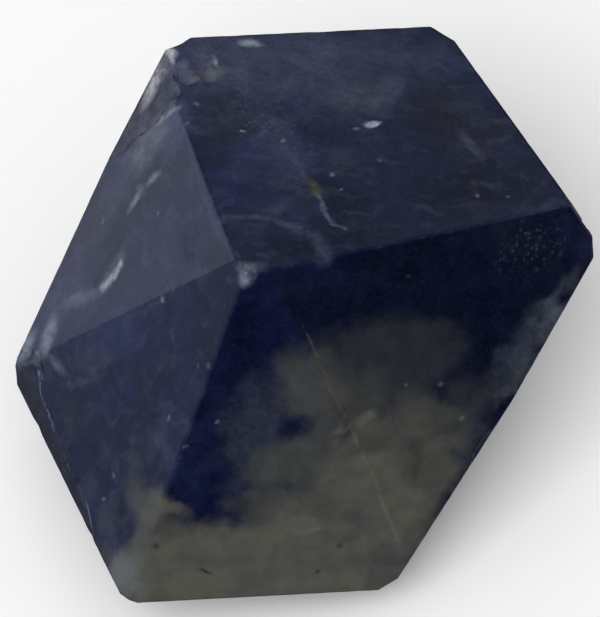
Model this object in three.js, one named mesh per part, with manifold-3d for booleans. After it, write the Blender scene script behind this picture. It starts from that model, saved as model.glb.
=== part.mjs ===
// A sodalite stone, hand cut and polished: flat slopes that meet in softly worn edges,
// two narrow bevels on the left, blunted corners, and small chips and pits.
// It is one solid piece. Millimetres, +Z up, -Y to the front. The origin lies under the
// middle of the stone, on the level that its resting facet stands on.

import * as THREE from 'three';
import { ConvexGeometry } from 'three/addons/geometries/ConvexGeometry.js';
import { mergeVertices } from 'three/addons/utils/BufferGeometryUtils.js';
import Module from 'manifold-3d';

// ---------------------------------------------------------------- driving dimensions

const REST_DEPTH = 11.8; // from the heart of the stone down to the resting facet
const HEART = new THREE.Vector3(0.05, 0.2, REST_DEPTH); // every facet is set out from here
const EDGE_RADIUS = 0.35; // wear along every edge and corner
const WEAR_STEPS = 3; // how finely that wear is rounded
const BLANK_SIZE = 60; // the rough block that the facets are cut from
const CUTTER_SIZE = 140;
const CHIP_STEPS = 1; // few faces, as broken stone shows small flats and ridges

// The cutting list. turn is the compass direction that a facet faces, in degrees from the
// front (-Y) towards the right (+X). tilt is how far it faces up, in degrees above the
// horizon. depth is its distance from the heart.
const FACETS = {
  // the five slopes that meet at the peak
  left_slope: { turn: -81.8, tilt: 35.4, depth: 10.86 },
  top_slope: { turn: 152.9, tilt: 75.95, depth: 10.75 },
  right_slope: { turn: 27.7, tilt: 27.55, depth: 9.71 },
  front_slope: { turn: 15, tilt: 24.9, depth: 10.04 },
  front_left_slope: { turn: -66, tilt: 30.35, depth: 11.06 },
  // narrow bevels along the left edges
  bevel_left_top: { turn: -90.15, tilt: 35.7, depth: 11.88 },
  bevel_left_low: { turn: -66.7, tilt: 25.1, depth: 12.14 },
  // the sides under the slopes
  back_side: { turn: -168.45, tilt: -10, depth: 13.24 },
  left_back_side: { turn: -136.6, tilt: -11, depth: 12.78 },
  right_back_side: { turn: 118.4, tilt: 19.5, depth: 16.79 },
  right_side: { turn: 66.95, tilt: -17.5, depth: 13.58 },
  right_low_side: { turn: 60.85, tilt: -15.5, depth: 13.66 },
  // the underside, which runs in to the resting facet
  under_front: { turn: -11.35, tilt: -62, depth: 14.1 },
  under_left: { turn: -64.05, tilt: -56, depth: 14.48 },
  under_back_left: { turn: -130, tilt: -55, depth: 13.4 },
  under_back: { turn: 168, tilt: -46, depth: 12.9 },
  under_right: { turn: 95, tilt: -50, depth: 12.4 },
  under_front_right: { turn: 45, tilt: -62, depth: 14.8 },
  rest: { turn: 0, tilt: -90, depth: REST_DEPTH },
  // corners rubbed blunt
  worn_right: { turn: 95.5, tilt: 2, depth: 17.42 },
  worn_front_right: { turn: 41, tilt: -39, depth: 16.41 },
  worn_front_left: { turn: -29.5, tilt: -37.5, depth: 19.1 },
  worn_left: { turn: -91, tilt: -12, depth: 18.25 },
  worn_top_left: { turn: -122.5, tilt: 17.5, depth: 15.75 },
  worn_top_right: { turn: 141.5, tilt: 17.5, depth: 18.91 },
};

// Chips and pits. at is where one lies, near the surface; on names the facets that it bites
// into. width and length are its size on the surface, and length runs along the edge
// between the first two facets. bite is how deep it goes.
const chip = (at, on, width, length, bite) => ({ at, on, width, length, bite });
const CHIPS = [
  // the ragged ledge where the upper left bevel broke away
  chip([-7.5, 9.2, 21.4], ['left_slope', 'bevel_left_top', 'top_slope'], 1.4, 1.8, 0.3),
  chip([-8.1, 8.5, 20.6], ['left_slope', 'bevel_left_top'], 1.0, 2.2, 0.12),
  chip([-8.8, 8.4, 19.6], ['left_slope', 'bevel_left_top'], 1.5, 2.6, 0.17),
  chip([-9.6, 8.4, 18.3], ['left_slope', 'bevel_left_top'], 1.1, 2.4, 0.12),
  chip([-10.4, 8.2, 17.1], ['left_slope', 'bevel_left_top'], 1.3, 2.8, 0.13),
  // the broken upper left corner
  chip([-8.2, 11.4, 20.9], ['top_slope', 'bevel_left_top'], 1.3, 2.4, 0.24),
  chip([-7.2, 13.1, 20.3], ['top_slope', 'left_back_side'], 1.0, 2.0, 0.16),
  // the rubbed left corner and its pit
  chip([-16.6, -0.1, 7.3], ['left_slope', 'bevel_left_low'], 1.3, 2.0, 0.16),
  chip([-15.6, -1.6, 7.8], ['front_left_slope', 'bevel_left_low'], 0.6, 1.4, 0.12),
  // flakes along the lower left bevel
  chip([-14.8, -4.6, 6.8], ['front_left_slope', 'bevel_left_low'], 0.5, 2.2, 0.05),
  chip([-12.9, -9.4, 6.4], ['front_left_slope', 'bevel_left_low'], 0.6, 2.6, 0.06),
  chip([-16.2, -4.3, 5.4], ['bevel_left_low', 'under_left'], 0.7, 1.6, 0.1),
  chip([-12.5, -11.9, 5.6], ['front_left_slope', 'under_left'], 0.8, 1.6, 0.12),
  // nicks in the lower right edge
  chip([10.8, -7.9, 9.5], ['right_slope', 'right_low_side'], 0.7, 1.8, 0.1),
  chip([13.6, -5.2, 11.3], ['right_slope', 'right_side'], 0.6, 2.8, 0.08),
  chip([7.2, -12.4, 5.4], ['right_slope', 'right_low_side'], 0.6, 1.2, 0.08),
  // a wedge-shaped scar and a pit in the top slope
  chip([-6.1, 10.9, 21.0], ['top_slope', 'left_slope'], 0.9, 1.6, 0.06),
  chip([-5.0, 11.5, 21.0], ['top_slope', 'left_slope'], 1.4, 1.8, 0.07),
  chip([0.8, 1.8, 22.3], ['top_slope'], 0.8, 0.8, 0.13),
  // the rubbed peak
  chip([-3.2, -5.3, 24.3], ['top_slope', 'front_left_slope'], 0.8, 1.3, 0.1),
  // knocks on the back and the underside
  chip([12.3, 16.0, 13.0], ['back_side', 'right_back_side'], 1.2, 2.8, 0.22),
  chip([1.5, 15.0, 19.0], ['top_slope', 'back_side'], 0.7, 2.4, 0.12),
  chip([-4.6, 11.8, 6.0], ['back_side', 'left_back_side'], 0.9, 2.6, 0.15),
  chip([15.6, 1.5, 19.0], ['right_back_side', 'right_side'], 0.7, 1.8, 0.12),
  chip([11.0, 2.0, 5.5], ['under_right', 'right_side'], 1.0, 3.0, 0.15),
  chip([-1.5, -13.0, 3.4], ['under_front', 'front_slope'], 0.8, 2.2, 0.1),
];

const STONE_COLOUR = 0x1b2142;
const STONE_ROUGHNESS = 0.35;

// ---------------------------------------------------------------- solids

const wasm = await Module();
wasm.setup();

function solidFrom(geometry) {
  const bare = geometry.index ? geometry.toNonIndexed() : geometry.clone();
  bare.deleteAttribute('normal');
  bare.deleteAttribute('uv');
  const merged = mergeVertices(bare, 1e-5);
  const mesh = new wasm.Mesh({
    numProp: 3,
    vertProperties: Float32Array.from(merged.attributes.position.array),
    triVerts: Uint32Array.from(merged.index.array),
  });
  return new wasm.Manifold(mesh);
}

function geometryFrom(solid) {
  const mesh = solid.getMesh();
  const geometry = new THREE.BufferGeometry();
  geometry.setAttribute('position', new THREE.BufferAttribute(mesh.vertProperties, 3));
  geometry.setIndex(new THREE.BufferAttribute(mesh.triVerts, 1));
  geometry.computeVertexNormals();
  return geometry;
}

// ---------------------------------------------------------------- facets

function outwardOf(facet) {
  const turn = THREE.MathUtils.degToRad(facet.turn);
  const tilt = THREE.MathUtils.degToRad(facet.tilt);
  const level = Math.cos(tilt);
  return new THREE.Vector3(Math.sin(turn) * level, -Math.cos(turn) * level, Math.sin(tilt));
}

// A facet is cut by taking away everything beyond its plane. inset moves the plane inwards.
function cutterFor(facet, inset) {
  const outward = outwardOf(facet);
  const cutter = new THREE.BoxGeometry(CUTTER_SIZE, CUTTER_SIZE, CUTTER_SIZE);
  cutter.translate(0, 0, CUTTER_SIZE / 2 + facet.depth - inset);
  const face = new THREE.Quaternion().setFromUnitVectors(new THREE.Vector3(0, 0, 1), outward);
  cutter.applyQuaternion(face);
  cutter.translate(HEART.x, HEART.y, HEART.z);
  return solidFrom(cutter);
}

function cutFacets(inset) {
  const block = new THREE.BoxGeometry(BLANK_SIZE, BLANK_SIZE, BLANK_SIZE);
  block.translate(HEART.x, HEART.y, HEART.z);
  let stone = solidFrom(block);
  for (const facet of Object.values(FACETS)) {
    stone = stone.subtract(cutterFor(facet, inset));
  }
  return stone;
}

function cornersOf(solid) {
  const mesh = solid.getMesh();
  const corners = [];
  for (let i = 0; i < mesh.vertProperties.length; i += mesh.numProp) {
    corners.push(new THREE.Vector3().fromArray(mesh.vertProperties, i));
  }
  return corners;
}

// The wear: a small ball at each corner of a slightly smaller stone, and one hull over all
// the balls. Each facet's own direction is added to the balls, so that facets stay flat.
function wearEdges(corners) {
  const ball = new THREE.IcosahedronGeometry(EDGE_RADIUS, WEAR_STEPS);
  const merged = mergeVertices(ball.deleteAttribute('normal').deleteAttribute('uv'), 1e-5);
  const steps = merged.attributes.position;
  const facets = Object.values(FACETS).map((facet) => {
    return { outward: outwardOf(facet), inner: facet.depth - EDGE_RADIUS };
  });
  const points = [];
  for (const corner of corners) {
    for (let i = 0; i < steps.count; i += 1) {
      points.push(new THREE.Vector3().fromBufferAttribute(steps, i).add(corner));
    }
    const fromHeart = corner.clone().sub(HEART);
    for (const { outward, inner } of facets) {
      const touches = Math.abs(outward.dot(fromHeart) - inner) < 1e-3;
      if (touches) points.push(corner.clone().addScaledVector(outward, EDGE_RADIUS));
    }
  }
  return solidFrom(new ConvexGeometry(points));
}

// ---------------------------------------------------------------- chips

// Moves a point along a direction until it meets the outermost facet plane on its way.
function seatOnSurface(point, direction) {
  const fromHeart = point.clone().sub(HEART);
  let reach = Infinity;
  for (const facet of Object.values(FACETS)) {
    const outward = outwardOf(facet);
    const slope = outward.dot(direction);
    if (slope > 0.05) reach = Math.min(reach, (facet.depth - outward.dot(fromHeart)) / slope);
  }
  return point.clone().addScaledVector(direction, reach);
}

function chipTool({ at, on, width, length, bite }) {
  const sides = on.map((name) => outwardOf(FACETS[name]));
  const outward = sides.reduce((sum, side) => sum.add(side), new THREE.Vector3()).normalize();
  const along = sides.length > 1
    ? new THREE.Vector3().crossVectors(sides[0], sides[1]).normalize()
    : new THREE.Vector3().crossVectors(outward, new THREE.Vector3(1, 0, 0)).normalize();
  along.addScaledVector(outward, -along.dot(outward)).normalize();
  const across = new THREE.Vector3().crossVectors(outward, along);

  // the ball that leaves a scar of this width at this depth
  const halfWidth = width / 2;
  const radius = (halfWidth * halfWidth + bite * bite) / (2 * bite);
  const tool = new THREE.IcosahedronGeometry(radius, CHIP_STEPS);
  tool.rotateZ(at[0] + at[2]); // no two chips break alike
  tool.scale(length / width, 1, 1);
  const place = new THREE.Matrix4().makeBasis(along, across, outward);
  const surface = seatOnSurface(new THREE.Vector3(...at), outward);
  place.setPosition(surface.addScaledVector(outward, radius - bite));
  tool.applyMatrix4(place);
  return solidFrom(tool);
}

function buildStone() {
  let stone = wearEdges(cornersOf(cutFacets(EDGE_RADIUS)));
  for (const bitten of CHIPS) {
    stone = stone.subtract(chipTool(bitten));
  }
  return geometryFrom(stone);
}

// ---------------------------------------------------------------- the part

const stoneMaterial = new THREE.MeshStandardMaterial({
  color: STONE_COLOUR,
  roughness: STONE_ROUGHNESS,
  metalness: 0,
});
const stone = new THREE.Mesh(buildStone(), stoneMaterial);
stone.name = 'sodalite_stone';

const part = new THREE.Group();
part.add(stone);

export default part;
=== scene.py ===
"""A sodalite stone, hand cut and polished, on a pale table in soft studio light."""

import math

import bmesh
import bpy
from mathutils import Euler, Matrix, Vector, noise


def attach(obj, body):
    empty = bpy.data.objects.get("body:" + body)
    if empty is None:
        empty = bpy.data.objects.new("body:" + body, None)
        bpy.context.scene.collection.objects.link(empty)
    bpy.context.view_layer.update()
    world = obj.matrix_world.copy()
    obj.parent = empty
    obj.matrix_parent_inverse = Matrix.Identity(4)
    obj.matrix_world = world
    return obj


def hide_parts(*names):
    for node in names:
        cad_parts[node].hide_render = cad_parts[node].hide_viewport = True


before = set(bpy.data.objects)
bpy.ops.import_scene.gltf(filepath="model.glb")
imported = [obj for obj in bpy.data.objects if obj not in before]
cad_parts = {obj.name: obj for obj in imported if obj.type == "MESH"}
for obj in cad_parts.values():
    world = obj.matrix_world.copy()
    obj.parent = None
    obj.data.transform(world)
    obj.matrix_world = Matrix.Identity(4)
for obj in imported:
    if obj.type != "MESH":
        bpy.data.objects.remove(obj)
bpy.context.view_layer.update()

# Lengths are in millimetres, in the frame of the cut stone, until a mesh is finished: then it is
# scaled to metres. +X is to the right, -Y to the front and +Z up.
MM = 0.001

# ---------------------------------------------------------------- the cutting list

REST_DEPTH = 11.8  # from the heart of the stone down to the facet that it rests on
HEART = Vector((0.05, 0.2, REST_DEPTH))  # every facet is set out from here
BLANK_SIZE = 60.0  # the rough block that the facets are cut from

# Each facet: its turn from the front (-Y) towards the right (+X), its tilt above the horizon,
# both in degrees, and its depth from the heart.
FACETS = {
    # the five slopes that meet at the peak
    "left_slope": (-81.8, 35.4, 10.86),
    "top_slope": (152.9, 75.95, 10.75),
    "right_slope": (27.7, 27.55, 9.71),
    "front_slope": (15.0, 24.9, 10.04),
    "front_left_slope": (-66.0, 30.35, 11.06),
    # narrow bevels along the left edges
    "bevel_left_top": (-90.15, 35.7, 11.88),
    "bevel_left_low": (-66.7, 25.1, 12.14),
    # the sides under the slopes
    "back_side": (-168.45, -10.0, 13.24),
    "left_back_side": (-136.6, -11.0, 12.78),
    "right_back_side": (118.4, 19.5, 16.79),
    "right_side": (66.95, -17.5, 13.58),
    "right_low_side": (60.85, -15.5, 13.66),
    # the underside, which runs in to the resting facet
    "under_front": (-11.35, -62.0, 14.1),
    "under_left": (-64.05, -56.0, 14.48),
    "under_back_left": (-130.0, -55.0, 13.4),
    "under_back": (168.0, -46.0, 12.9),
    "under_right": (95.0, -50.0, 12.4),
    "under_front_right": (45.0, -62.0, 14.8),
    "rest": (0.0, -90.0, REST_DEPTH),
    # corners rubbed blunt
    "worn_right": (95.5, 2.0, 17.42),
    "worn_front_right": (41.0, -39.0, 16.41),
    "worn_front_left": (-29.5, -37.5, 19.1),
    "worn_left": (-91.0, -12.0, 18.25),
    "worn_top_left": (-122.5, 17.5, 15.75),
    "worn_top_right": (141.5, 17.5, 18.91),
}


def outward_of(turn, tilt):
    turn, tilt = math.radians(turn), math.radians(tilt)
    level = math.cos(tilt)
    return Vector((math.sin(turn) * level, -math.cos(turn) * level, math.sin(tilt)))


OUTWARD = {name: outward_of(turn, tilt) for name, (turn, tilt, depth) in FACETS.items()}
DEPTH = {name: depth for name, (turn, tilt, depth) in FACETS.items()}


def on_facet(name, x, y):
    """The point of a facet that lies over (x, y), seen from above."""
    outward = OUTWARD[name]
    rise = DEPTH[name] - outward.x * (x - HEART.x) - outward.y * (y - HEART.y)
    return Vector((x, y, HEART.z + rise / outward.z))


# ---------------------------------------------------------------- cutting the stone

EDGE_RADIUS = 0.35  # wear along every edge and corner
BALL_STEPS = 4  # how finely that wear is rounded
FLAT_ANGLE = math.radians(0.4)  # faces that differ by less are one facet
CELL = 0.6  # the size of the cells that the facets are parted into


def cut_facets(inset):
    """The sharp cut stone, each facet moved in by inset. Returns its corners."""
    block = bmesh.new()
    bmesh.ops.create_cube(block, size=BLANK_SIZE, matrix=Matrix.Translation(HEART))
    for name, outward in OUTWARD.items():
        cut = bmesh.ops.bisect_plane(
            block,
            geom=[*block.verts, *block.edges, *block.faces],
            plane_co=HEART + outward * (DEPTH[name] - inset),
            plane_no=outward,
            clear_outer=True,
        )
        rim = [e for e in cut["geom_cut"] if isinstance(e, bmesh.types.BMEdge)]
        bmesh.ops.contextual_create(block, geom=rim)
    corners = [v.co.copy() for v in block.verts]
    block.free()
    return corners


def worn_stone():
    """A small ball at each corner of a slightly smaller stone, and one skin over all of them."""
    stone = bmesh.new()
    for corner in cut_facets(EDGE_RADIUS):
        place = Matrix.Translation(corner)
        bmesh.ops.create_icosphere(stone, subdivisions=BALL_STEPS, radius=EDGE_RADIUS, matrix=place)
    bmesh.ops.delete(stone, geom=stone.edges[:], context="EDGES_FACES")
    bmesh.ops.convex_hull(stone, input=stone.verts[:], use_existing_faces=False)
    loose = [v for v in stone.verts if not v.link_faces]
    bmesh.ops.delete(stone, geom=loose, context="VERTS")
    bmesh.ops.dissolve_limit(
        stone, angle_limit=FLAT_ANGLE, verts=stone.verts[:], edges=stone.edges[:]
    )
    return stone


def part_into_cells(stone):
    """Parts the facets along evenly spaced planes, so that no face is long or large."""
    for axis in range(3):
        low = min(v.co[axis] for v in stone.verts)
        high = max(v.co[axis] for v in stone.verts)
        steps = round((high - low) / CELL)
        direction = Vector((0.0, 0.0, 0.0))
        direction[axis] = 1.0
        for step in range(1, steps):
            bmesh.ops.bisect_plane(
                stone,
                geom=[*stone.verts, *stone.edges, *stone.faces],
                plane_co=direction * (low + (high - low) * step / steps),
                plane_no=direction,
            )
    bmesh.ops.triangulate(stone, faces=stone.faces[:])


def refine(stone, wanted, longest):
    """Halves every edge that is longer than longest and whose middle is wanted."""
    long = [
        e for e in stone.edges
        if e.calc_length() > longest and wanted((e.verts[0].co + e.verts[1].co) / 2)
    ]
    bmesh.ops.subdivide_edges(stone, edges=long, cuts=1, use_grid_fill=True)
    bmesh.ops.triangulate(stone, faces=[f for f in stone.faces if len(f.verts) > 3])


# ---------------------------------------------------------------- wear on the stone

NEIGHBOURS = 6  # how many other facets are tried for the edge nearest to a point


def nearest_facets(point):
    """How far a point lies under each facet, the nearest one first."""
    from_heart = point - HEART
    return sorted((DEPTH[name] - OUTWARD[name].dot(from_heart), name) for name in FACETS)


def edge_distance(point):
    """How far a point of the surface is from the nearest edge."""
    (own_gap, own), *others = nearest_facets(point)
    nearest = BLANK_SIZE
    for gap, name in others[:NEIGHBOURS]:
        lean = OUTWARD[own].dot(OUTWARD[name])
        nearest = min(nearest, abs(gap - lean * own_gap) / math.sqrt(1.0 - lean * lean))
    return nearest


def chip(at, on, width, length, bite):
    """A chip or a pit near at, which bites into the facets that on names.

    width and length are its size on the surface, and length runs along the edge between the
    first two facets. bite is how deep it goes.
    """
    return {"at": Vector(at), "on": on, "width": width, "length": length, "bite": bite}


CHIPS = [
    # the ragged ledge where the upper left bevel broke away
    chip((-7.5, 9.2, 21.4), ("left_slope", "bevel_left_top", "top_slope"), 1.4, 1.8, 0.3),
    chip((-8.1, 8.5, 20.6), ("left_slope", "bevel_left_top"), 1.0, 2.2, 0.12),
    chip((-8.8, 8.4, 19.6), ("left_slope", "bevel_left_top"), 1.5, 2.6, 0.17),
    chip((-9.6, 8.4, 18.3), ("left_slope", "bevel_left_top"), 1.1, 2.4, 0.12),
    chip((-10.4, 8.2, 17.1), ("left_slope", "bevel_left_top"), 1.3, 2.8, 0.13),
    # the broken upper left corner
    chip((-8.2, 11.4, 20.9), ("top_slope", "bevel_left_top"), 1.3, 2.4, 0.24),
    chip((-7.2, 13.1, 20.3), ("top_slope", "left_back_side"), 1.0, 2.0, 0.16),
    # the rubbed left corner and its pit
    chip((-16.6, -0.1, 7.3), ("left_slope", "bevel_left_low"), 1.3, 2.0, 0.16),
    chip((-15.6, -1.6, 7.8), ("front_left_slope", "bevel_left_low"), 0.6, 1.4, 0.12),
    # flakes along the lower left bevel
    chip((-14.8, -4.6, 6.8), ("front_left_slope", "bevel_left_low"), 0.5, 2.2, 0.05),
    chip((-12.9, -9.4, 6.4), ("front_left_slope", "bevel_left_low"), 0.6, 2.6, 0.06),
    chip((-16.2, -4.3, 5.4), ("bevel_left_low", "under_left"), 0.7, 1.6, 0.1),
    chip((-12.5, -11.9, 5.6), ("front_left_slope", "under_left"), 0.8, 1.6, 0.12),
    # nicks in the lower right edge
    chip((10.8, -7.9, 9.5), ("right_slope", "right_low_side"), 0.7, 1.8, 0.1),
    chip((13.6, -5.2, 11.3), ("right_slope", "right_side"), 0.6, 2.8, 0.08),
    chip((7.2, -12.4, 5.4), ("right_slope", "right_low_side"), 0.6, 1.2, 0.08),
    # a wedge-shaped scar and a pit in the top slope
    chip((-6.1, 10.9, 21.0), ("top_slope", "left_slope"), 0.9, 1.6, 0.02),
    chip((-5.0, 11.5, 21.0), ("top_slope", "left_slope"), 1.4, 1.8, 0.03),
    chip((0.8, 1.8, 22.3), ("top_slope",), 0.8, 0.8, 0.13),
    # the rubbed peak
    chip((-3.2, -5.3, 24.3), ("top_slope", "front_left_slope"), 0.8, 1.3, 0.1),
    # knocks on the back and the underside
    chip((12.3, 16.0, 13.0), ("back_side", "right_back_side"), 1.2, 2.8, 0.22),
    chip((1.5, 15.0, 19.0), ("top_slope", "back_side"), 0.7, 2.4, 0.12),
    chip((-4.6, 11.8, 6.0), ("back_side", "left_back_side"), 0.9, 2.6, 0.15),
    chip((15.6, 1.5, 19.0), ("right_back_side", "right_side"), 0.7, 1.8, 0.12),
    chip((11.0, 2.0, 5.5), ("under_right", "right_side"), 1.0, 3.0, 0.15),
    chip((-1.5, -13.0, 3.4), ("under_front", "front_slope"), 0.8, 2.2, 0.1),
]


LEAST_LEAN = 0.05  # a facet that leans less towards a direction isn't met on the way


def seat_on_surface(point, direction):
    """Moves a point out or in along a direction, until it lies on the sharp cut stone."""
    from_heart = point - HEART
    reach = BLANK_SIZE
    for name, outward in OUTWARD.items():
        lean = outward.dot(direction)
        if lean > LEAST_LEAN:
            reach = min(reach, (DEPTH[name] - outward.dot(from_heart)) / lean)
    return point + direction * reach


def scar_of(chipped):
    """The ball, stretched along the edge, that leaves a scar of the chip's size."""
    sides = [OUTWARD[name] for name in chipped["on"]]
    outward = sum(sides, Vector()).normalized()
    other = sides[1] if len(sides) > 1 else Vector((1.0, 0.0, 0.0))
    along = sides[0].cross(other)
    along = (along - outward * along.dot(outward)).normalized()
    half = chipped["width"] / 2
    radius = (half * half + chipped["bite"] ** 2) / (2 * chipped["bite"])
    surface = seat_on_surface(chipped["at"], outward)
    return {
        "surface": surface,
        "centre": surface + outward * (radius - chipped["bite"]),
        "outward": outward,
        "along": along,
        "across": outward.cross(along),
        "radius": radius,
        "stretch": chipped["length"] / chipped["width"],
        "reach": max(chipped["width"], chipped["length"]) / 2,
    }


SCARS = [scar_of(chipped) for chipped in CHIPS]
SCAR_ROUGHNESS = 0.05  # how uneven the floor of a chip is
SCAR_GRAIN = 0.55  # and how broad its bumps are
FINE_SCALE = 3.1  # a broken face has finer bumps too: this many times smaller
FINE_SHARE = 0.4  # and this much as high
SCAR_MARGIN = 0.6  # beyond this strip around its scar, a chip cuts nothing
LEAST_CUT = 0.004  # a shallower cut is left out
FRESH_CUT = 0.2  # a chip as deep as this shows a fully broken face


def ragged(point, grain, height):
    """The uneven height of a broken face."""
    broad = noise.noise(point / grain)
    fine = noise.noise(point * FINE_SCALE / grain)
    return height * (broad + FINE_SHARE * fine)


def cut_by(scar, point):
    """How far a chip takes a point of the surface in, against its outward direction."""
    from_centre = point - scar["centre"]
    radius = scar["radius"]
    along = from_centre.dot(scar["along"]) / (radius * scar["stretch"])
    across = from_centre.dot(scar["across"]) / radius
    height = from_centre.dot(scar["outward"])
    inside = 1.0 - along * along - across * across
    if inside <= 0.0 or height < -radius:
        return 0.0
    floor = -radius * math.sqrt(inside) + ragged(point, SCAR_GRAIN, SCAR_ROUGHNESS)
    return max(height - floor, 0.0)


EDGE_BAND = 0.45  # the strip along each edge that is meshed finely
EDGE_CELL = 0.3
SCAR_BAND = 0.15  # the strip around each scar that is meshed finely
SCAR_CELL = 0.16
NIBBLE = 0.03  # how deep the edges are nibbled
NIBBLE_GRAIN = 0.7
NIBBLE_SHARE = 0.1  # the higher, the more of each edge is nibbled
BROKEN_HEIGHT = 0.05  # the rough face of the upper left bevel
BROKEN_GRAIN = 0.9
SWELL = 0.012  # how far a hand-polished facet is from flat
SWELL_SIZE = 5.0


def near_scar(point):
    return any((point - s["surface"]).length < s["reach"] + SCAR_BAND for s in SCARS)


def wear(stone):
    """Moves each point of the surface in, where the stone is chipped, nibbled or rough.

    Two layers go to the mesh: how far a point is from the nearest edge, and how freshly
    broken the surface is there. The resting facet stays flat.
    """
    edge_layer = stone.verts.layers.float.new("edge")
    broken_layer = stone.verts.layers.float.new("broken")
    for vert in stone.verts:
        point = vert.co.copy()
        own = nearest_facets(point)[0][1]
        outward = OUTWARD[own]
        vert[edge_layer] = edge_distance(point)
        if own == "rest":
            continue
        broken = 0.0
        moved = point - outward * SWELL * (0.5 + 0.5 * noise.noise(point / SWELL_SIZE))
        if own == "bevel_left_top":
            moved -= outward * (BROKEN_HEIGHT + ragged(point, BROKEN_GRAIN, BROKEN_HEIGHT))
            broken = 1.0
        if vert[edge_layer] < EDGE_BAND:
            worn = max(noise.noise(point / NIBBLE_GRAIN) + NIBBLE_SHARE, 0.0)
            inward = (HEART - point).normalized()
            moved += inward * NIBBLE * worn * (1.0 - vert[edge_layer] / EDGE_BAND)
        for scar in SCARS:
            if (point - scar["surface"]).length > scar["reach"] + SCAR_MARGIN:
                continue
            cut = cut_by(scar, point)
            if cut > LEAST_CUT:
                moved -= scar["outward"] * cut
                broken = max(broken, min(cut / FRESH_CUT, 1.0))
        vert[broken_layer] = broken
        vert.co = moved


def make_stone(material):
    stone = worn_stone()
    part_into_cells(stone)
    for longest in (2 * EDGE_CELL, EDGE_CELL):
        refine(stone, lambda point: edge_distance(point) < EDGE_BAND, longest)
    for longest in (2 * SCAR_CELL, SCAR_CELL):
        refine(stone, near_scar, longest)
    wear(stone)
    bmesh.ops.scale(stone, vec=(MM, MM, MM), verts=stone.verts[:])
    mesh = bpy.data.meshes.new("stone")
    stone.to_mesh(mesh)
    stone.free()
    mesh.materials.append(material)
    mesh.polygons.foreach_set("use_smooth", [True] * len(mesh.polygons))
    piece = bpy.data.objects.new("stone", mesh)
    bpy.context.scene.collection.objects.link(piece)
    piece.modifiers.new("flat_facets", "WEIGHTED_NORMAL")
    return piece


# ---------------------------------------------------------------- wiring a finish

NOISE_SPREAD = 0.12  # how far a noise strays from its middle


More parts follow.
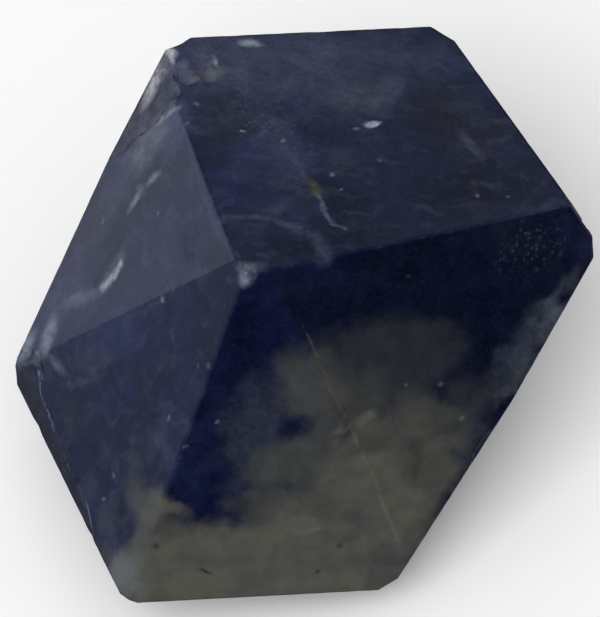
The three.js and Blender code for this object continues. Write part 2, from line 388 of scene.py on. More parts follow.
class Finish:
    """A material and its nodes. Most methods add nodes and return what comes out of them."""

    def __init__(self, name):
        self.material = bpy.data.materials.new(name)
        self.material.use_nodes = True
        self.tree = self.material.node_tree
        self.shader = self.tree.nodes["Principled BSDF"]

    def feed(self, socket, value):
        """Links a socket to what comes out of a node, or sets it to a number, place or colour."""
        if isinstance(value, bpy.types.NodeSocket):
            self.tree.links.new(value, socket)
        elif socket.type == "RGBA":
            socket.default_value = (*value, 1.0)
        else:
            socket.default_value = value

    def node(self, kind, inputs, **settings):
        node = self.tree.nodes.new(kind)
        for name, value in settings.items():
            setattr(node, name, value)
        for key, value in inputs.items():
            self.feed(node.inputs[key], value)
        return node

    def calc(self, operation, *values):
        inputs = dict(enumerate(values))
        return self.node("ShaderNodeMath", inputs, operation=operation).outputs[0]

    def vector(self, operation, a, b):
        return self.node("ShaderNodeVectorMath", {0: a, 1: b}, operation=operation).outputs[0]

    def scaled(self, vector, factor):
        inputs = {0: vector, "Scale": factor}
        return self.node("ShaderNodeVectorMath", inputs, operation="SCALE").outputs[0]

    def along(self, a, b):
        """How far one vector reaches along another."""
        node = self.node("ShaderNodeVectorMath", {0: a, 1: b}, operation="DOT_PRODUCT")
        return node.outputs["Value"]

    def apart(self, a, b):
        """The distance between two places."""
        node = self.node("ShaderNodeVectorMath", {0: a, 1: b}, operation="DISTANCE")
        return node.outputs["Value"]

    def fade(self, value, start, end, low=0.0, high=1.0):
        """low before start and high after end, with a soft step between them."""
        inputs = {"Value": value, "From Min": start, "From Max": end, "To Min": low, "To Max": high}
        node = self.node("ShaderNodeMapRange", inputs, interpolation_type="SMOOTHSTEP")
        return node.outputs["Result"]

    def noise_node(self, at, size, detail, roughness):
        inputs = {"Vector": at, "Scale": 1.0 / size, "Detail": detail, "Roughness": roughness}
        return self.node("ShaderNodeTexNoise", inputs)

    def mottle(self, at, size, detail=2.0, roughness=0.5):
        """An uneven pattern around 0.5."""
        return self.noise_node(at, size, detail, roughness).outputs[0]

    def wander(self, at, size, amount, detail):
        """Shifts a place to and fro, mostly by less than amount."""
        shift = self.noise_node(at, size, detail, roughness=0.5).outputs["Color"]
        centred = self.vector("SUBTRACT", shift, (0.5, 0.5, 0.5))
        return self.vector("ADD", at, self.scaled(centred, amount / NOISE_SPREAD))

    def layer(self, name):
        """What a layer of the mesh holds."""
        return self.node("ShaderNodeAttribute", {}, attribute_name=name).outputs["Fac"]

    def blend(self, factor, a, b):
        """From colour a to colour b. Sockets 6 and 7 take the colours, and 2 gives the blend."""
        inputs = {0: factor, 6: a, 7: b}
        return self.node("ShaderNodeMix", inputs, data_type="RGBA").outputs[2]

    def stretched(self, at, direction, length, middle=(0.0, 0.0, 0.0)):
        """Draws a pattern out along a direction, so that dots become streaks."""
        direction = Vector(direction).normalized()
        level = self.along(self.vector("SUBTRACT", at, middle), direction)
        pulled = self.scaled(direction, self.calc("MULTIPLY", level, 1.0 / length - 1.0))
        return self.vector("ADD", at, pulled)

    def path_distance(self, at, path):
        """The distance from a place to a path of three points or more."""
        nearest = None
        for start, end in zip(path[:-1], path[1:]):
            span = end - start
            from_start = self.vector("SUBTRACT", at, start)
            share = self.along(from_start, span / span.length_squared)
            share = self.calc("MAXIMUM", self.calc("MINIMUM", share, 1.0), 0.0)
            distance = self.apart(from_start, self.scaled(span, share))
            nearest = distance if nearest is None else self.calc("MINIMUM", nearest, distance)
        return nearest

    def show(self, at, marked):
        """How strongly a mark shows: a spot, an oval that tapers to both ends, or a line."""
        path, rim = marked["path"], marked["rim"]
        if len(path) == 1:
            distance = self.apart(at, path[0])
        elif len(path) == 2:
            half, middle = (path[1] - path[0]) / 2, (path[1] + path[0]) / 2
            distance = self.apart(self.stretched(at, half, half.length / rim + 1.0, middle), middle)
        else:
            distance = self.path_distance(at, path)
        return self.fade(distance, rim, marked["core"], 0.0, marked["strength"])

    def strongest(self, at, marks):
        """How strongly the strongest of some marks shows."""
        result = self.show(at, marks[0])
        for marked in marks[1:]:
            result = self.calc("MAXIMUM", result, self.show(at, marked))
        return result


# ---------------------------------------------------------------- where the stone is marked, and where light is painted on it

def mark(facet, path, core, rim, strength, colour=None):
    """A patch or a line in a facet: full up to core from its path, and gone beyond rim.

    A mark has no colour of its own where its whole list shares one.
    """
    points = [on_facet(facet, x, y) for x, y in path]
    return {"path": points, "core": core, "rim": rim, "strength": strength, "colour": colour}


# Tones are red, green and blue, from 0 to 1, in linear light.
#
# Each slope has its own tone, paler on the slopes that mirror the soft light: painted sheen. Each
# tone is full up to the first angle away from its facet, in degrees, and gone beyond the second.
FACET_TONES_AND_SHEEN = {
    "top_slope": ((0.0057, 0.0103, 0.0380), 20, 40),
    "left_slope": ((0.0140, 0.0180, 0.0500), 20, 40),
    "front_left_slope": ((0.0030, 0.0070, 0.0345), 4, 11),
    "bevel_left_low": ((0.0100, 0.0110, 0.0220), 2, 4),
    "front_slope": ((0.0012, 0.0035, 0.0260), 20, 40),
    "right_slope": ((0.0012, 0.0038, 0.0175), 3, 9),
}
SIDE_TONE = (0.0060, 0.0100, 0.0380)

# A painted sheen, a thin milky veil over the two left slopes that mirror the light: how strong it
# is, and the same two angles.
PAINTED_SHEEN = {
    "left_slope": (0.018, 10, 16),
    "front_left_slope": (0.074, 6, 11),
}

# The pale cloud that fills the lower front, in soft lobes that run together.
CLOUD_TONE = (0.0730, 0.0750, 0.0590)
CLOUD = [
    # the band along the bottom
    mark("front_slope", [(-7.2, -15.5), (-2.9, -14.7), (1.5, -13.9)], 2.8, 4.2, 0.89),
    mark("front_slope", [(-7.9, -15.8), (-4.4, -15.4)], 0.5, 2.0, 0.95),
    mark("front_slope", [(-8.2, -13.5), (-6.4, -13.5)], 0.3, 1.0, 0.7),
    mark("front_slope", [(3.2, -14.4), (7.0, -13.9)], 1.2, 3.0, 0.84),
    # billows that rise from it
    mark("front_slope", [(-1.4, -13.1), (3.0, -11.8)], 1.0, 3.0, 0.74),
    mark("front_slope", [(-3.0, -12.9), (-0.5, -12.4)], 0.7, 2.0, 0.54),
    mark("front_slope", [(-2.0, -11.8), (2.1, -10.2)], 0.8, 2.9, 0.54),
    mark("front_slope", [(0.1, -8.3), (1.8, -8.9)], 1.0, 2.8, 0.50),
    mark("front_slope", [(1.3, -9.5)], 0.6, 2.2, 0.42),
    mark("right_slope", [(5.1, -11.2), (6.1, -12.4)], 1.2, 3.4, 0.86),
    mark("right_slope", [(2.1, -11.5), (5.1, -10.3)], 1.0, 2.6, 0.82),
    mark("right_slope", [(3.0, -10.1), (7.4, -8.7)], 1.4, 2.9, 0.66),
    mark("right_slope", [(6.9, -11.0), (9.0, -8.6)], 1.0, 2.6, 0.70),
    mark("right_slope", [(9.5, -7.5), (5.9, -8.2)], 0.7, 2.0, 0.48),
    mark("right_slope", [(1.5, -10.2), (4.5, -8.6)], 0.1, 0.9, 0.98),
    mark("right_slope", [(2.3, -9.1), (5.4, -8.2)], 0.7, 2.0, 0.36),
    # the dim upper part
    mark("right_slope", [(2.7, -7.3), (7.6, -6.0)], 1.8, 3.6, 0.22),
    mark("right_slope", [(2.1, -8.8), (4.7, -7.5)], 0.6, 2.4, 0.36),
    mark("right_slope", [(6.6, -7.5)], 0.5, 1.8, 0.38),
    mark("right_slope", [(10.1, -6.5)], 0.4, 2.4, 0.20),
    # on the front left slope
    mark("front_left_slope", [(-9.9, -15.1), (-10.6, -16.0)], 0.9, 2.3, 1.0),
    mark("front_left_slope", [(-9.2, -13.4), (-7.9, -13.7)], 0.4, 2.0, 0.80),
    mark("front_left_slope", [(-9.6, -10.8), (-9.1, -13.7)], 0.1, 1.9, 0.45),
]
# Where the dark stone shows through the cloud.
CLOUD_HOLES = [
    mark("front_slope", [(-0.4, -10.1)], 0.4, 1.4, 0.62),
    mark("front_slope", [(-1.8, -9.7)], 0.2, 1.0, 0.4),
    mark("front_slope", [(-0.5, -11.9)], 0.1, 0.9, 0.3),
    mark("front_slope", [(-4.0, -12.3), (-7.5, -12.9)], 0.9, 1.6, 1.0),
    mark("front_slope", [(-4.3, -13.4)], 0.2, 1.1, 0.5),
    mark("front_slope", [(2.1, -12.8)], 0.3, 1.8, 0.2),
    mark("front_slope", [(4.2, -14.0)], 0.8, 3.2, 0.10),
    mark("right_slope", [(7.0, -9.1)], 0.3, 1.3, 0.2),
]

# Soft patches where the stone is paler, darker, bluer or browner; the pale and dark ones on the top
# and the left slope are painted sheen, and those along the lower edge of the right slope are a
# painted highlight.
HAZES_AND_SHEEN = [
    # the top slope: painted sheen, pale along the back edge and dark by the peak; brownish to the
    # right
    mark("top_slope", [(-5.9, 12.4), (-1.1, 12.4), (3.1, 12.4)],
         0.8, 5.6, 0.9, (0.033, 0.041, 0.084)),
    mark("top_slope", [(3.0, 12.0), (8.8, 14.2)], 0.5, 3.5, 0.8, (0.020, 0.027, 0.063)),
    mark("top_slope", [(4.8, 9.7), (2.9, 9.5)], 0.4, 2.2, 0.85, (0.034, 0.041, 0.070)),
    mark("top_slope", [(-3.6, 6.8)], 0.6, 3.2, 0.6, (0.016, 0.022, 0.043)),
    mark("top_slope", [(-4.5, 5.7)], 0.6, 2.4, 0.7, (0.0100, 0.0145, 0.0360)),
    mark("top_slope", [(-3.0, 4.3), (-3.3, 1.9)], 0.6, 2.6, 0.8, (0.0105, 0.0160, 0.0640)),
    mark("top_slope", [(-3.7, -0.1)], 0.5, 2.2, 0.7, (0.0035, 0.0080, 0.0520)),
    mark("top_slope", [(-1.4, 6.4), (0.1, 2.0)], 0.3, 2.2, 0.75, (0.026, 0.034, 0.088)),
    mark("top_slope", [(-0.8, 0.2)], 0.4, 2.2, 0.4, (0.014, 0.021, 0.066)),
    mark("top_slope", [(1.9, 0.9), (2.6, -1.2)], 0.4, 2.3, 0.9, (0.0015, 0.0045, 0.0260)),
    mark("top_slope", [(7.2, 0.6), (11.2, 2.9)], 0.6, 2.6, 0.9, (0.0010, 0.0028, 0.0140)),
    mark("top_slope", [(7.8, 10.8), (10.7, 5.6)], 0.8, 3.2, 0.8, (0.0100, 0.0135, 0.0320)),
    mark("top_slope", [(11.2, 4.4), (12.6, 2.2)], 0.6, 2.4, 0.8, (0.0040, 0.0075, 0.0260)),
    mark("top_slope", [(5.8, -0.8), (9.4, 1.8)], 0.6, 2.6, 0.7, (0.0035, 0.0085, 0.0330)),
    mark("top_slope", [(-2.5, -4.1), (4.0, -2.5)], 0.4, 2.3, 0.95, (0.0004, 0.0028, 0.0200)),
    mark("top_slope", [(-6.5, 13.0), (-7.2, 11.1)], 0.2, 1.3, 0.85, (0.031, 0.037, 0.108)),
    mark("top_slope", [(-6.7, 8.3), (-6.3, 6.1)], 0.1, 0.8, 0.6, (0.010, 0.016, 0.066)),
    # the left slope: painted sheen, paler towards its outer edge and dark by the peak
    mark("left_slope", [(-15.9, 0.8), (-12.9, 2.9)], 0.6, 3.0, 0.8, (0.037, 0.042, 0.088)),
    mark("left_slope", [(-12.8, 4.1), (-10.3, 5.9)], 0.6, 2.6, 0.8, (0.034, 0.038, 0.072)),
    mark("left_slope", [(-7.4, 6.5)], 0.6, 2.6, 0.8, (0.032, 0.043, 0.097)),
    mark("left_slope", [(-7.9, 7.6), (-10.0, 6.8)], 0.3, 2.0, 0.85, (0.090, 0.098, 0.130)),
    mark("left_slope", [(-6.3, -0.8), (-6.4, -2.3)], 0.3, 1.6, 0.85, (0.0015, 0.0040, 0.0260)),
    mark("left_slope", [(-6.5, 1.5)], 0.3, 1.7, 0.6, (0.0040, 0.0110, 0.0380)),
    mark("left_slope", [(-5.4, -3.4), (-4.2, -4.2)], 0.3, 1.5, 0.6, (0.0050, 0.0070, 0.0240)),
    mark("left_slope", [(-11.1, 2.2)], 0.2, 1.4, 0.7, (0.0080, 0.0120, 0.0380)),
    mark("left_slope", [(-12.5, 0.1)], 0.3, 1.5, 0.6, (0.034, 0.046, 0.098)),
    mark("left_slope", [(-8.7, 2.6)], 0.3, 1.5, 0.5, (0.025, 0.031, 0.068)),
    # the front left slope
    mark("front_left_slope", [(-12.5, -2.3), (-8.6, -4.3)], 0.4, 2.0, 0.7, (0.012, 0.018, 0.068)),
    mark("front_left_slope", [(-13.1, -2.7), (-11.4, -4.2)], 0.4, 1.6, 0.7, (0.022, 0.029, 0.064)),
    mark("front_left_slope", [(-14.3, -4.2), (-12.7, -7.1)], 0.4, 1.5, 0.6, (0.012, 0.015, 0.033)),
    mark("front_left_slope", [(-5.2, -6.9)], 0.3, 1.6, 0.6, (0.0045, 0.0080, 0.0300)),
    mark("front_left_slope", [(-7.4, -9.7), (-9.2, -10.6)], 0.3, 1.5, 0.6, (0.019, 0.028, 0.066)),
    mark("front_left_slope", [(-11.1, -12.2)], 0.6, 1.9, 0.6, (0.026, 0.034, 0.052)),
    mark("front_left_slope", [(-12.6, -9.5)], 0.4, 1.6, 0.6, (0.012, 0.018, 0.038)),
    mark("front_left_slope", [(-11.9, -13.4), (-11.2, -15.4)],
         0.3, 1.6, 0.7, (0.050, 0.054, 0.070)),
    # the front slope
    mark("front_slope", [(-3.4, -12.2), (-1.9, -9.0)], 0.9, 2.6, 0.85, (0.018, 0.026, 0.044)),
    mark("front_slope", [(-5.7, -10.8), (-6.9, -12.7)], 0.8, 2.4, 0.7, (0.0045, 0.0078, 0.0380)),
    mark("front_slope", [(-2.1, -6.1)], 0.3, 1.9, 0.8, (0.0028, 0.0055, 0.0340)),
    # the right slope: blue by the peak, and a painted highlight along its lower edge
    mark("right_slope", [(-1.0, -5.8), (2.6, -4.5)], 0.3, 1.6, 0.8, (0.0024, 0.0055, 0.0300)),
    mark("right_slope", [(16.5, -0.4), (14.9, -2.4)], 0.1, 0.9, 0.8, (0.024, 0.029, 0.046)),
    mark("right_slope", [(14.7, -2.5), (11.3, -6.2)], 0.1, 2.2, 0.75, (0.036, 0.044, 0.066)),
    mark("right_slope", [(15.0, -2.5)], 0.2, 1.8, 0.7, (0.060, 0.072, 0.098)),
    mark("right_slope", [(13.6, -4.0), (11.7, -6.5)], 0.1, 0.8, 0.7, (0.040, 0.047, 0.055)),
    mark("right_slope", [(10.6, -7.5), (9.3, -9.2)], 0.2, 1.3, 0.6, (0.020, 0.026, 0.040)),
    mark("right_slope", [(12.0, -0.7), (14.1, -0.6)], 0.8, 2.4, 0.5, (0.0050, 0.0085, 0.0200)),
    mark("right_slope", [(15.6, 0.7), (16.7, 0.3)], 0.5, 1.7, 0.8, (0.0046, 0.0075, 0.0350)),
]

# Fine marks. Those in one list share a colour.
LILAC = (0.036, 0.043, 0.085)
LILAC_VEINS = [
    # the two veins that nearly meet on the top slope, and a branch
    mark("top_slope", [(-1.6, 7.2), (-0.9, 5.2), (0.1, 2.9), (0.8, 1.6)], 0.06, 0.40, 0.75),
    mark("top_slope", [(-4.9, -2.0), (-4.0, -1.5), (-2.1, -1.3), (0.1, -2.1)], 0.08, 0.36, 1.00),
    mark("top_slope", [(-0.1, -2.1), (1.1, -2.9), (1.5, -4.1), (1.5, -5.0)], 0.10, 0.80, 0.70),
    mark("top_slope", [(-2.0, -1.3), (-0.5, 0.2)], 0.10, 0.60, 0.70),
    # a streak near the back edge, and one to the right
    mark("top_slope", [(-3.1, 12.6), (-1.0, 13.0)], 0.05, 0.50, 0.80),
    mark("top_slope", [(9.3, 7.6), (10.9, 4.7)], 0.10, 0.55, 1.00),
    # the worn edge between the left and the top slope, and the peak
    mark("left_slope", [(-3.6, -4.6), (-4.7, -2.3), (-5.9, 2.1), (-6.9, 6.7)], 0.06, 0.35, 0.60),
    mark("top_slope", [(-4.9, -1.7)], 0.10, 0.60, 1.00),
    mark("top_slope", [(-3.0, -5.5), (-2.0, -5.3)], 0.10, 0.60, 1.00),
]
# Milky white: for the milky streaks and wisps, and for the painted sheen on the left slopes.
MILK_AND_SHEEN_TONE = (0.150, 0.175, 0.235)
MILK_STREAKS = [
    # the bright end of the first vein, the start of the second, and the rubbed peak
    mark("top_slope", [(0.9, 1.2), (1.3, 0.3), (1.5, -0.6), (1.9, -1.5), (2.6, -1.8)],
         0.03, 0.24, 0.42),
    mark("top_slope", [(-4.9, -1.9)], 0.05, 0.50, 0.60),
    mark("top_slope", [(-3.1, -5.7)], 0.15, 0.90, 1.00),
    mark("front_slope", [(-3.1, -6.1)], 0.15, 0.90, 1.00),
    # a forked streak and a smeared patch on the left slope
    mark("left_slope", [(-10.2, 3.5), (-9.2, 4.5)], 0.03, 0.45, 1.00),
    mark("left_slope", [(-9.1, 4.4), (-8.1, 4.5)], 0.03, 0.45, 0.80),
    mark("left_slope", [(-9.2, 4.0), (-9.6, 4.7)], 0.03, 0.45, 0.40),
    mark("left_slope", [(-11.6, 0.2), (-10.5, 1.0)], 0.10, 1.00, 0.55),
    mark("left_slope", [(-12.8, 0.5), (-11.4, -0.1)], 0.05, 0.70, 0.60),
    mark("left_slope", [(-14.4, 1.2), (-12.1, 0.2)], 0.10, 0.80, 0.40),
    # the lower left corner of the cloud
    mark("front_left_slope", [(-10.4, -15.3)], 0.40, 2.20, 0.30),
    # the rubbed left corner
    mark("left_slope", [(-14.8, 0.7), (-15.5, -0.9)], 0.20, 1.00, 1.00),
    mark("left_slope", [(-16.2, 0.8), (-17.2, -0.2)], 0.20, 0.90, 1.00),
    mark("front_left_slope", [(-15.9, -0.9)], 0.20, 0.70, 0.80),
    mark("front_left_slope", [(-15.2, -1.2), (-14.0, -3.0)], 0.03, 0.55, 0.50),
    mark("front_left_slope", [(-14.5, -3.2), (-11.9, -4.7)], 0.05, 0.50, 0.15),
    # hairlines along the lower left bevel
    mark("front_left_slope", [(-15.8, -1.6), (-15.7, -2.7), (-15.2, -4.1), (-14.8, -5.3)],
         0.02, 0.13, 0.80),
    mark("front_left_slope", [(-14.4, -6.3), (-13.4, -8.8)], 0.02, 0.10, 0.40),
    mark("front_left_slope", [(-12.8, -9.8), (-12.2, -12.2)], 0.02, 0.14, 0.80),
]
# Pale lines: a painted highlight along an edge that catches the light, and scratches.
RIDGE_GLINT_AND_SCRATCH = (0.095, 0.100, 0.085)
RIDGE_GLINTS_AND_SCRATCHES = [
    # a painted highlight along the edge between the front and the right slope, and a scratch across
    # it
    mark("front_slope", [(0.2, -6.9), (2.1, -8.8), (3.1, -9.6)], 0.03, 0.14, 0.30),
    mark("front_slope", [(3.1, -9.6), (4.3, -10.7), (5.9, -12.5)], 0.03, 0.20, 0.50),
    mark("right_slope", [(3.1, -9.3), (4.5, -8.6)], 0.05, 0.45, 0.90),
    mark("front_slope", [(1.9, -9.9), (3.0, -9.5)], 0.03, 0.35, 0.50),
    # the short light line at the lower front
    mark("front_slope", [(-0.8, -13.2), (0.2, -13.1), (1.2, -12.8)], 0.05, 0.22, 0.60),
]
SNOW = (0.480, 0.500, 0.530)
SNOW_PATCHES = [
    # the bright upper left corner
    mark("top_slope", [(-7.7, 12.5), (-7.9, 11.6), (-8.3, 10.4)], 0.15, 0.60, 0.90),
    mark("bevel_left_top", [(-8.3, 11.9), (-9.2, 10.2)], 0.10, 1.10, 0.90),
]
WHITE = (0.300, 0.340, 0.420)
FLECKS = [
    # a bright fleck and a faint one beside it
    mark("top_slope", [(4.0, 7.2), (4.7, 7.4)], 0.14, 0.36, 1.00),
    mark("top_slope", [(3.2, 6.7), (3.5, 6.8)], 0.05, 0.20, 0.40),
    # two near the back edge, and one in the smeared patch on the left slope
    mark("top_slope", [(-3.4, 13.8), (-2.5, 13.8)], 0.15, 0.50, 0.60),
    mark("top_slope", [(-5.2, 12.4), (-4.9, 11.5)], 0.05, 0.25, 0.60),
    mark("left_slope", [(-10.6, 0.7), (-11.0, 0.2), (-11.7, 0.1)], 0.05, 0.42, 0.75),
    # crumbs along the ledge
    mark("left_slope", [(-6.4, 7.6), (-7.9, 7.7), (-8.4, 7.7)], 0.03, 0.22, 0.45),
]
# Small round flecks on each facet: x, y, size and strength.
SMALL_FLECKS = {
    "top_slope": [
        (-7.6, 9.8, 0.12, 0.90), (-0.9, 5.3, 0.12, 0.60), (-3.3, 5.9, 0.11, 0.50),
        (-6.1, 8.0, 0.14, 0.25), (-6.6, 6.3, 0.12, 0.25), (1.9, 2.7, 0.12, 0.40),
        (4.7, 4.2, 0.12, 0.35), (10.4, 1.7, 0.10, 0.25), (12.2, 1.8, 0.10, 0.20),
        (2.4, 1.4, 0.10, 0.30),
    ],
    "left_slope": [
        (-6.8, 7.9, 0.12, 0.60), (-8.2, 7.9, 0.12, 0.60), (-9.7, 8.0, 0.10, 0.40),
        (-8.0, -3.7, 0.16, 0.30), (-11.8, 4.4, 0.12, 0.25), (-8.3, 1.9, 0.12, 0.25),
    ],
    "front_left_slope": [
        (-5.8, -8.4, 0.13, 0.25), (-5.2, -8.8, 0.14, 0.30), (-7.6, -9.6, 0.12, 0.30),
        (-6.7, -11.6, 0.10, 0.25), (-11.0, -10.0, 0.12, 0.30), (-11.6, -10.8, 0.12, 0.25),
    ],
    "front_slope": [(-4.7, -10.5, 0.12, 0.20), (-6.5, -11.5, 0.10, 0.15)],
    "right_slope": [
        (9.6, -7.4, 0.14, 0.20), (6.2, -7.2, 0.10, 0.15),
        (8.3, -6.6, 0.12, 0.15), (6.3, -3.6, 0.10, 0.10),
    ],
}
FLECK_CORE = 0.4  # a small fleck is full up to this share of its size from its middle
FLECK_RIM = 2.0  # and gone beyond this share
for facet, flecks in SMALL_FLECKS.items():
    for x, y, size, strength in flecks:
        FLECKS.append(mark(facet, [(x, y)], size * FLECK_CORE, size * FLECK_RIM, strength))

# Dark spots lie over all of these, each in a colour of its own, and so does a painted shadow.
DARK = (0.010, 0.012, 0.016)
DARK_SPOTS_AND_SHADE = [
    # small spots in the cloud
    mark("front_slope", [(-8.4, -14.8)], 0.05, 0.30, 0.60, DARK),
    mark("front_slope", [(-6.0, -15.1), (-5.0, -15.2)], 0.03, 0.16, 0.80, DARK),
    mark("front_slope", [(2.4, -13.2)], 0.05, 0.30, 0.50, DARK),
    mark("front_slope", [(1.1, -14.2)], 0.04, 0.22, 0.55, DARK),
    mark("front_slope", [(1.8, -11.3)], 0.03, 0.25, 0.35, DARK),
    # the pit, the crevice at the left corner and a dark spot beside the pale patch
    mark("top_slope", [(0.7, 1.9), (1.0, 1.0)], 0.15, 0.60, 0.85, (0.042, 0.053, 0.032)),
    mark("front_left_slope", [(-15.6, -1.2), (-15.4, -2.4)], 0.03, 0.35, 0.80, DARK),
    mark("left_slope", [(-12.1, 0.7)], 0.05, 0.60, 0.60, (0.002, 0.004, 0.006)),
    # the scar on the top slope, and a painted shadow above its sharp upper edge
    mark("top_slope", [(-6.9, 9.9), (-5.3, 10.7)], 0.10, 0.45, 0.85, (0.080, 0.088, 0.105)),
    mark("top_slope", [(-5.6, 10.4), (-4.6, 11.2)], 0.20, 0.65, 0.85, (0.078, 0.086, 0.100)),
    mark("top_slope", [(-7.6, 10.8), (-6.0, 11.5)], 0.10, 0.55, 0.85, (0.010, 0.013, 0.028)),
]

# Fine bright specks lie thick in two places.
SPECKLED = [
    mark("top_slope", [(-3.5, 8.6), (0.3, 5.0)], 0.6, 2.8, 1.0),
    mark("right_slope", [(12.0, -1.5), (14.7, 0.1)], 0.6, 2.2, 1.0),
]
SPECK_CELL = 0.24

# ---------------------------------------------------------------- sodalite

STONE_IOR = 1.48
SCUFF = (0.200, 0.215, 0.230)  # rubbed or freshly broken stone
MERGE = 3.0  # the higher, the less two lobes of the cloud run into each other
POLISHING = (1.0, 0.2, 0.0)  # the way the polishing marks run

# Midway between the two clear front facets, and between all the slopes with a tone of their own.
FRONT = (OUTWARD["front_slope"] + OUTWARD["right_slope"]).normalized()
SLOPES = sum((OUTWARD[name] for name in FACET_TONES_AND_SHEEN), Vector()).normalized()


class Sodalite(Finish):
    """The finish of the stone, with the patterns that its methods share, in millimetres."""

    def __init__(self):
        super().__init__("sodalite")
        place = self.node("ShaderNodeTexCoord", {}).outputs
        self.at = self.scaled(place["Object"], 1.0 / MM)
        self.facing = place["Normal"]
        # mottling, from a few millimetres down to the grain
        self.drift = self.mottle(self.at, size=5.0)
        self.patchy = self.mottle(self.at, size=1.3, detail=3.0, roughness=0.6)
        self.grain = self.mottle(self.at, size=0.28, roughness=0.6)
        # places shifted to and fro, for marks with ragged outlines: broad ones and fine ones
        self.loose = self.wander(self.at, size=1.6, amount=0.4, detail=3.0)
        self.steady = self.wander(self.at, size=0.6, amount=0.05, detail=2.0)
        # side is 1 on the sides and the underside, and clear is 1 on the two clear front facets
        slope = self.fade(self.along(self.facing, SLOPES), 0.25, 0.5)
        self.side = self.calc("SUBTRACT", 1.0, slope)
        self.clear = self.fade(self.along(self.facing, FRONT), 0.85, 0.95)
        self.broken = self.layer("broken")
        self.edge = self.layer("edge")

    def on_one_facet(self, name, full, gone, most=1.0):
        """Shows on one facet: most up to full degrees away from it, and none beyond gone."""
        lean = self.along(self.facing, OUTWARD[name])
        start, end = math.cos(math.radians(gone)), math.cos(math.radians(full))
        return self.fade(lean, start, end, high=most)

    def stone_tones_and_sheen(self):
        """The tone of each facet and the hazes, with their painted sheen and highlight, mottled."""
        colour = SIDE_TONE
        # each slope's tone, with its painted sheen
        for name, (tone, full, gone) in FACET_TONES_AND_SHEEN.items():
            colour = self.blend(self.on_one_facet(name, full, gone), colour, tone)
        # hazes, among them painted sheen and a painted highlight
        for haze in HAZES_AND_SHEEN:
            colour = self.blend(self.show(self.loose, haze), colour, haze["colour"])
        broad = self.fade(self.drift, 0.35, 0.65, low=0.90, high=1.10)
        middling = self.fade(self.patchy, 0.25, 0.75, low=0.74, high=1.26)
        fine = self.fade(self.grain, 0.2, 0.8, low=0.80, high=1.20)
        level = self.calc("MULTIPLY", self.calc("MULTIPLY", broad, middling), fine)
        return self.scaled(colour, level)

    def wisps(self):
        """How much the milky wisps show. There are hardly any on the clear facets."""
        wisps = self.mottle(self.stretched(self.loose, POLISHING, 2.2), size=1.1, detail=3.0)
        wisps = self.fade(wisps, 0.45, 0.80, high=0.10)
        return self.calc("MULTIPLY", wisps, self.fade(self.clear, 0.0, 1.0, low=1.0, high=0.1))

    def cloud(self):
        """How much of the pale cloud shows on the slopes."""
        loose = self.wander(self.at, size=2.4, amount=0.4, detail=4.0)
        cloud = 0.0
        for lobe in CLOUD:
            cloud = self.calc("ADD", cloud, self.calc("POWER", self.show(loose, lobe), MERGE))
        cloud = self.calc("POWER", cloud, 1.0 / MERGE)
        for hole in CLOUD_HOLES:
            left = self.calc("SUBTRACT", 1.0, self.show(loose, hole))
            cloud = self.calc("MULTIPLY", cloud, left)
        return self.calc("MULTIPLY", cloud, self.fade(self.patchy, 0.25, 0.75, low=0.84, high=1.14))

    def side_pale(self):
        """How much pale cloud and vein shows on the sides and the underside."""
        drifting = self.wander(self.at, size=3.0, amount=1.2, detail=3.0)
        cloud = self.mottle(drifting, size=8.0, detail=3.0, roughness=0.55)
        cloud = self.fade(cloud, 0.52, 0.68, high=0.8)
        bent = self.wander(self.at, size=4.0, amount=0.7, detail=2.0)
        ridge = self.calc("SUBTRACT", self.mottle(bent, size=9.0, detail=0.0), 0.5)
        vein = self.fade(self.calc("ABSOLUTE", ridge), 0.014, 0.003, high=0.8)
        vein = self.calc("MULTIPLY", vein, self.fade(self.drift, 0.45, 0.6))
        return self.calc("MULTIPLY", self.side, self.calc("MAXIMUM", cloud, vein))

    def specks(self):
        """How much the fine bright specks show."""
        inputs = {"Vector": self.at, "Scale": 1.0 / SPECK_CELL}
        cells = self.node("ShaderNodeTexVoronoi", inputs).outputs
        chosen = self.fade(self.along(cells["Color"], (1.0, 0.0, 0.0)), 0.4, 1.0, high=0.09)
        thick = self.fade(self.strongest(self.loose, SPECKLED), 0.0, 1.0, low=0.1)
        dot = self.fade(cells["Distance"], 0.7, 0.1)
        return self.calc("MULTIPLY", self.calc("MULTIPLY", dot, chosen), thick)

    def marked(self, colour):
        """Adds the veins, streaks, worn edges, a painted edge highlight, flecks, dark spots and a
        painted shadow.
        """
        broken_up = self.calc(
            "MULTIPLY",
            self.fade(self.patchy, 0.32, 0.58, low=0.4),
            self.fade(self.grain, 0.3, 0.6, low=0.6),
        )
        for tone, marks in [
            (LILAC, LILAC_VEINS),
            (RIDGE_GLINT_AND_SCRATCH, RIDGE_GLINTS_AND_SCRATCHES),
            (MILK_AND_SHEEN_TONE, MILK_STREAKS),
            (SNOW, SNOW_PATCHES),
            (WHITE, FLECKS),
        ]:
            amount = self.calc("MULTIPLY", self.strongest(self.steady, marks), broken_up)
            colour = self.blend(amount, colour, tone)
        # dark spots, and a painted shadow by the scar
        for spot in DARK_SPOTS_AND_SHADE:
            colour = self.blend(self.show(self.steady, spot), colour, spot["colour"])
        return colour

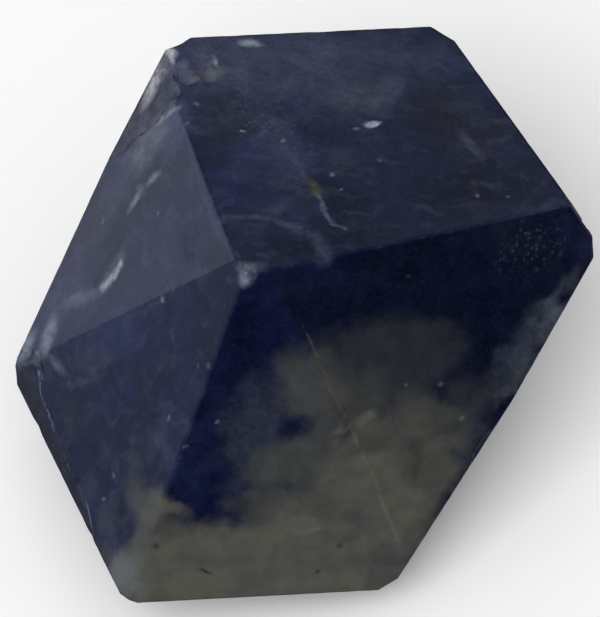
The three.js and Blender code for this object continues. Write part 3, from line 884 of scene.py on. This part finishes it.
    def scuffed(self, colour):
        """Adds pale broken places, and edges rubbed pale, mostly on the sides."""
        uneven = self.fade(self.patchy, 0.3, 0.7, low=0.05, high=0.22)
        fresh = self.calc("MULTIPLY", self.broken, uneven)
        rubbed = self.fade(self.edge, 0.25, 0.03)
        rubbed = self.calc("MULTIPLY", rubbed, self.fade(self.drift, 0.4, 0.65))
        rubbed = self.calc("MULTIPLY", rubbed, self.fade(self.grain, 0.3, 0.7, low=0.02, high=0.16))
        rubbed = self.calc("MULTIPLY", rubbed, self.fade(self.side, 0.0, 1.0, low=0.05))
        return self.blend(self.calc("MAXIMUM", fresh, rubbed), colour, SCUFF)

    def polish(self, cloud):
        """The roughness: satin on the clear facets, duller in the cloud and where it is broken."""
        roughness = self.fade(self.clear, 0.0, 1.0, low=0.34, high=0.26)
        uneven = self.fade(self.patchy, 0.3, 0.7, low=-0.03, high=0.05)
        roughness = self.calc("ADD", roughness, uneven)
        roughness = self.calc("ADD", roughness, self.calc("MULTIPLY", cloud, 0.06))
        return self.calc("ADD", roughness, self.calc("MULTIPLY", self.broken, 0.35))

    def relief(self):
        """The fine relief of the grain and the polishing scratches."""
        scratches = self.mottle(self.stretched(self.at, POLISHING, 12.0), size=0.16)
        height = self.calc("ADD", self.grain, self.calc("MULTIPLY", scratches, 0.6))
        inputs = {"Height": height, "Strength": 0.3, "Distance": 0.02 * MM}
        return self.node("ShaderNodeBump", inputs).outputs["Normal"]


def sodalite():
    stone = Sodalite()
    colour = stone.blend(stone.wisps(), stone.stone_tones_and_sheen(), MILK_AND_SHEEN_TONE)
    cloud = stone.calc("MAXIMUM", stone.cloud(), stone.side_pale())
    colour = stone.blend(cloud, colour, CLOUD_TONE)
    colour = stone.blend(stone.specks(), colour, WHITE)
    # painted sheen over the two left slopes
    for name, (sheen_strength, full, gone) in PAINTED_SHEEN.items():
        colour = stone.blend(stone.on_one_facet(name, full, gone, sheen_strength), colour, MILK_AND_SHEEN_TONE)
    colour = stone.scuffed(stone.marked(colour))
    stone.feed(stone.shader.inputs["Base Color"], colour)
    stone.feed(stone.shader.inputs["Roughness"], stone.polish(cloud))
    stone.feed(stone.shader.inputs["Normal"], stone.relief())
    stone.feed(stone.shader.inputs["IOR"], STONE_IOR)
    return stone.material


# ---------------------------------------------------------------- the studio

CAMERA_RISE = math.radians(56.0)  # how high above the table the camera looks from
CAMERA_AWAY = 250.0
CAMERA_LENS = 243.1
NEAREST_SEEN = 0.01  # in metres
TABLE_RADIUS = 2400.0
TABLE_SEGMENTS = 96
TABLE_TONE = (0.95, 0.95, 0.95)
TABLE_ROUGHNESS = 0.9
AMBIENT = 0.62  # how strongly the surroundings light the stone


def set_camera():
    lens = bpy.data.cameras.new("camera")
    lens.lens = CAMERA_LENS
    lens.clip_start = NEAREST_SEEN
    camera = bpy.data.objects.new("camera", lens)
    back = Vector((0.0, -math.cos(CAMERA_RISE), math.sin(CAMERA_RISE)))
    camera.location = (HEART + back * CAMERA_AWAY) * MM
    camera.rotation_euler = Euler((math.pi / 2 - CAMERA_RISE, 0.0, 0.0))
    bpy.context.scene.collection.objects.link(camera)
    bpy.context.scene.camera = camera


def softbox(name, toward, away, width, height, radiance, colour):
    """A soft light of the given size, away from the heart of the stone and turned to face it."""
    lamp = bpy.data.lights.new(name, "AREA")
    lamp.shape = "RECTANGLE"
    lamp.size = width * MM
    lamp.size_y = height * MM
    lamp.energy = radiance * math.pi * lamp.size * lamp.size_y
    lamp.color = colour
    box = bpy.data.objects.new(name, lamp)
    toward = Vector(toward).normalized()
    box.location = (HEART + toward * away) * MM
    box.rotation_euler = toward.to_track_quat("Z", "Y").to_euler()
    box.visible_camera = False
    bpy.context.scene.collection.objects.link(box)


def set_lights():
    softbox(
        "key", toward=(-0.3, -0.5, 0.81), away=600,
        width=400, height=400, radiance=4.2, colour=(1.0, 1.0, 1.0),
    )
    softbox(
        "left_card", toward=(-0.80, 0.55, -0.21), away=320,
        width=220, height=200, radiance=0.74, colour=(0.80, 0.86, 1.0),
    )
    softbox(
        "back_card", toward=(0.15, 0.85, 0.62), away=420,
        width=420, height=260, radiance=0.25, colour=(0.90, 0.95, 1.0),
    )


def set_floor():
    """The pale, matt table. The stone doesn't mirror it."""
    white = Finish("table_white")
    white.feed(white.shader.inputs["Base Color"], TABLE_TONE)
    white.feed(white.shader.inputs["Roughness"], TABLE_ROUGHNESS)
    white.feed(white.shader.inputs["Specular IOR Level"], 0.0)
    shape = bmesh.new()
    bmesh.ops.create_circle(
        shape, cap_ends=True, segments=TABLE_SEGMENTS, radius=TABLE_RADIUS * MM
    )
    mesh = bpy.data.meshes.new("table")
    shape.to_mesh(mesh)
    shape.free()
    mesh.materials.append(white.material)
    table = bpy.data.objects.new("table", mesh)
    table.visible_glossy = False
    bpy.context.scene.collection.objects.link(table)


def set_surroundings():
    """White all round: bright to the camera, softer as light, and not mirrored in the stone."""
    world = bpy.data.worlds.new("studio")
    bpy.context.scene.world = world
    world.use_nodes = True
    nodes, links = world.node_tree.nodes, world.node_tree.links
    background = nodes["Background"]
    path = nodes.new("ShaderNodeLightPath")
    level = nodes.new("ShaderNodeMapRange")
    level.inputs["To Min"].default_value = AMBIENT
    level.inputs["To Max"].default_value = 1.0
    links.new(path.outputs["Is Camera Ray"], level.inputs["Value"])
    links.new(level.outputs["Result"], background.inputs["Strength"])
    background.inputs["Color"].default_value = (1.0, 1.0, 1.0, 1.0)
    world.cycles_visibility.glossy = False


# ---------------------------------------------------------------- put together

def main():
    bpy.context.scene.view_settings.view_transform = "Standard"
    set_camera()
    set_surroundings()
    set_lights()
    set_floor()
    stone = make_stone(sodalite())
    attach(stone, "root")
    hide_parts("sodalite_stone")


main()
